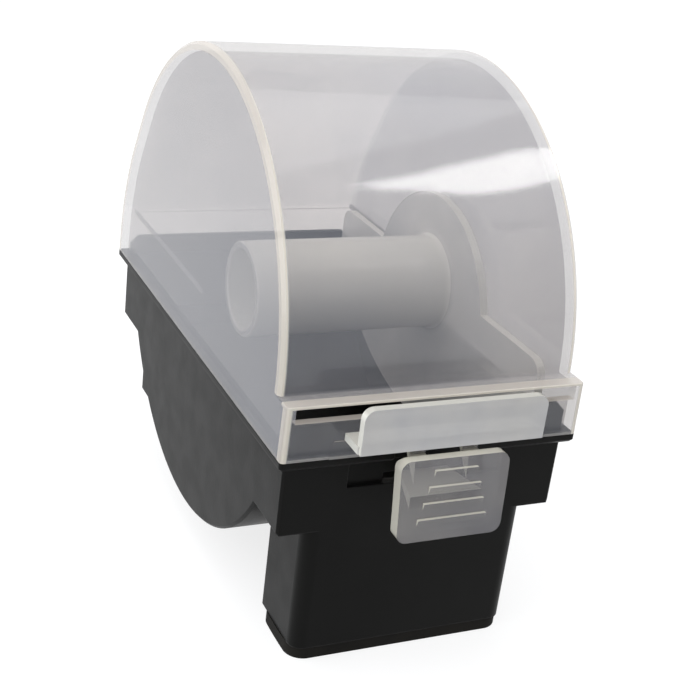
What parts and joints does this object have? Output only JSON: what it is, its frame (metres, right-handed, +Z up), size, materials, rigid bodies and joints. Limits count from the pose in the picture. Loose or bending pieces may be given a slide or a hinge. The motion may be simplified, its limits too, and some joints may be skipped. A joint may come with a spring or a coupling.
{
  "type": "roll label dispenser",
  "caption": "Bench dispenser for a roll of adhesive labels: black drum-bellied tub on a front leg, hinged translucent arched hood, spindle, peel plate and snap latch.",
  "frame": {"origin": "centre of the foot pad's underside, with the tub's rim level", "axes": "+X to the user's right along the spindle, +Y from the peel plate to the rear hinge, +Z up"},
  "size_m": [0.0734, 0.1477, 0.1267],
  "materials": {
    "tub_plastic": "moulded black, fine satin texture",
    "pad_foam": "brown-grey soft foam rubber, matt",
    "clear_hood": "translucent natural, smooth with a soft sheen",
    "clear_bracket": "translucent natural, satin",
    "clear_bar": "translucent natural, smooth",
    "clear_latch": "translucent natural, satin",
    "pin_steel": "drawn wire"
  },
  "bodies": {
    "base": {"base_tub": "tub_plastic", "foot_pad": "pad_foam", "spindle_bracket": "clear_bracket", "hinge_pin": "pin_steel"},
    "hood": {"hood_shell": "clear_hood", "peel_bar": "clear_bar"},
    "latch": {"latch_tab": "clear_latch", "latch_straps": "clear_latch"}
  },
  "joints": [
    {"name": "hood_hinge", "type": "hinge", "parent": "base", "child": "hood", "pos_m": [0, 0.12135, 0.05385], "axis": [-1, 0, 0], "range_deg": [0, 100]},
    {"name": "latch_flex", "type": "hinge", "parent": "hood", "child": "latch", "pos_m": [0, -0.01545, 0.05756], "axis": [-1, 0, 0], "range_deg": [0, 15], "stiffness_Nm_per_rad": 0.15}
  ]
}
